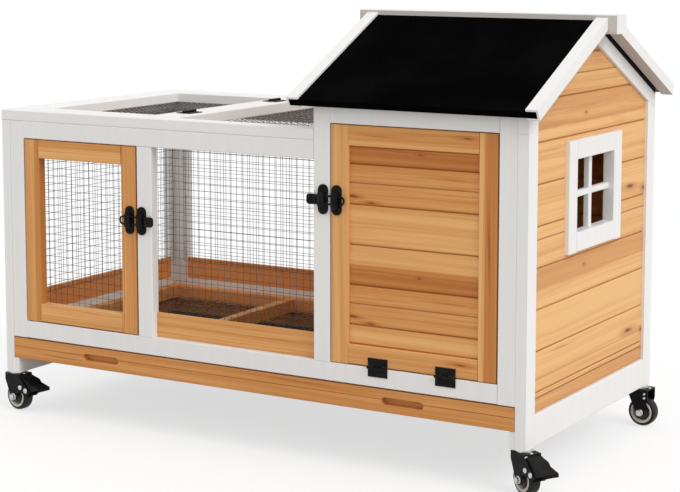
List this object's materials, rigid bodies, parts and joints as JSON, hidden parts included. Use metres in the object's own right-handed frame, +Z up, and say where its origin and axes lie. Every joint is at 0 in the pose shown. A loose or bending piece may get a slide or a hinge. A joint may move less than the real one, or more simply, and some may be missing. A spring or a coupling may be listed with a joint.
{
  "type": "outdoor rabbit run",
  "caption": "Long netted rabbit run on swivel casters with a gabled wooden house at one end, latched doors, a hinged net lid and a pull-out litter tray.",
  "frame": {"origin": "on the floor, below the middle of the whole object's bounding box", "axes": "+X along the run towards the house end, +Y from the front (doors and drawer) to the back, +Z up"},
  "size_m": [1.0906, 0.557, 0.72],
  "materials": {
    "white_paint": "white painted softwood, eased edges",
    "pine": "honey stained fir, satin, visible grain",
    "tray_board": "dark brown sealed board",
    "roofing_felt": "matt black mineral felt",
    "net_wire": "galvanised welded wire",
    "black_steel": "black powder coat",
    "zinc_steel": "bright zinc plate",
    "tyre": "black tread, slightly glossy",
    "wheel_hub": "cream moulded hub"
  },
  "bodies": {
    "run_body": {"left_end_frame": "white_paint", "right_end_frame": "white_paint", "right_end_planks": "pine", "window_frame": "white_paint", "window_bars": "white_paint", "front_frame": "white_paint", "back_frame": "white_paint", "house_back_planks": "pine", "inner_wall_frame": "white_paint", "inner_wall_planks": "pine", "top_frame": "white_paint", "fixed_nets": "net_wire", "kick_boards": "pine", "support_strips": "white_paint", "floor_frame": "pine", "house_floor": "pine", "roof_boards": "pine", "roof_felts": "roofing_felt", "roof_edge_channels": "white_paint", "ridge_beam": "white_paint", "latch_frame_plates": "black_steel", "frame_hinge_parts": "black_steel", "caster_stems": "zinc_steel"},
    "lid": {"lid_frame": "white_paint", "lid_net": "net_wire", "lid_hinge_leaves": "black_steel"},
    "mesh_door": {"mesh_door_stiles": "pine", "mesh_door_rails": "pine", "mesh_door_net": "net_wire", "mesh_door_keeper": "black_steel"},
    "house_door": {"house_door_stiles": "pine", "house_door_rails": "pine", "house_door_planks": "pine", "house_door_hinge_leaves": "black_steel", "house_door_keeper": "black_steel"},
    "mesh_door_bolt": {"mesh_door_loop": "black_steel"},
    "house_door_bolt": {"house_door_loop": "black_steel"},
    "drawer": {"drawer_front": "pine", "drawer_walls": "pine", "drawer_bottom": "tray_board"},
    "fork_fl": {"fork_fl": "black_steel", "axle_fl": "zinc_steel"},
    "wheel_fl": {"tyre_fl": "tyre", "hub_fl": "wheel_hub"},
    "brake_fl": {"pedal_fl": "black_steel"},
    "fork_fr": {"fork_fr": "black_steel", "axle_fr": "zinc_steel"},
    "wheel_fr": {"tyre_fr": "tyre", "hub_fr": "wheel_hub"},
    "brake_fr": {"pedal_fr": "black_steel"},
    "fork_bl": {"fork_bl": "black_steel", "axle_bl": "zinc_steel"},
    "wheel_bl": {"tyre_bl": "tyre", "hub_bl": "wheel_hub"},
    "fork_br": {"fork_br": "black_steel", "axle_br": "zinc_steel"},
    "wheel_br": {"tyre_br": "tyre", "hub_br": "wheel_hub"}
  },
  "joints": [
    {"name": "lid_hinge", "type": "hinge", "parent": "run_body", "child": "lid", "pos_m": [-0.2113, 0.00188, 0.5427], "axis": [0, 1, 0], "range_deg": [0, 160]},
    {"name": "mesh_door_hinge", "type": "hinge", "parent": "run_body", "child": "mesh_door", "pos_m": [-0.4743, -0.24612, 0.1675], "axis": [0, 0, -1], "range_deg": [0, 110]},
    {"name": "house_door_hinge", "type": "hinge", "parent": "run_body", "child": "house_door", "pos_m": [0.2912, -0.25282, 0.16825], "axis": [1, 0, 0], "range_deg": [0, 115]},
    {"name": "mesh_door_bolt_slide", "type": "slide", "parent": "run_body", "child": "mesh_door_bolt", "axis": [1, 0, 0], "range_m": [0, 0.029]},
    {"name": "house_door_bolt_slide", "type": "slide", "parent": "run_body", "child": "house_door_bolt", "axis": [-1, 0, 0], "range_m": [0, 0.029]},
    {"name": "drawer_slide", "type": "slide", "parent": "run_body", "child": "drawer", "axis": [0, 1, 0], "range_m": [-0.4, 0]},
    {"name": "swivel_fl", "type": "hinge", "parent": "run_body", "child": "fork_fl", "pos_m": [-0.5233, -0.23211, 0.07], "axis": [0, 0, 1], "continuous": true},
    {"name": "wheel_spin_fl", "type": "hinge", "parent": "fork_fl", "child": "wheel_fl", "pos_m": [-0.51736, -0.23295, 0.025], "axis": [0.1392, 0.9903, 0], "continuous": true},
    {"name": "brake_pedal_fl", "type": "hinge", "parent": "fork_fl", "child": "brake_fl", "pos_m": [-0.48567, -0.2374, 0.0403], "axis": [-0.1392, -0.9903, 0], "range_deg": [0, 14]},
    {"name": "swivel_fr", "type": "hinge", "parent": "run_body", "child": "fork_fr", "pos_m": [0.4787, -0.23211, 0.07], "axis": [0, 0, 1], "continuous": true},
    {"name": "wheel_spin_fr", "type": "hinge", "parent": "fork_fr", "child": "wheel_fr", "pos_m": [0.48389, -0.23511, 0.025], "axis": [0.5, 0.866, 0], "continuous": true},
    {"name": "brake_pedal_fr", "type": "hinge", "parent": "fork_fr", "child": "brake_fr", "pos_m": [0.51161, -0.25111, 0.0403], "axis": [-0.5, -0.866, 0], "range_deg": [0, 14]},
    {"name": "swivel_bl", "type": "hinge", "parent": "run_body", "child": "fork_bl", "pos_m": [-0.5233, 0.23589, 0.07], "axis": [0, 0, 1], "continuous": true},
    {"name": "wheel_spin_bl", "type": "hinge", "parent": "fork_bl", "child": "wheel_bl", "pos_m": [-0.51751, 0.23433, 0.025], "axis": [0.2588, 0.9659, 0], "continuous": true},
    {"name": "swivel_br", "type": "hinge", "parent": "run_body", "child": "fork_br", "pos_m": [0.4787, 0.23589, 0.07], "axis": [0, 0, 1], "continuous": true},
    {"name": "wheel_spin_br", "type": "hinge", "parent": "fork_br", "child": "wheel_br", "pos_m": [0.48469, 0.23557, 0.025], "axis": [0.0523, 0.9986, 0], "continuous": true}
  ]
}
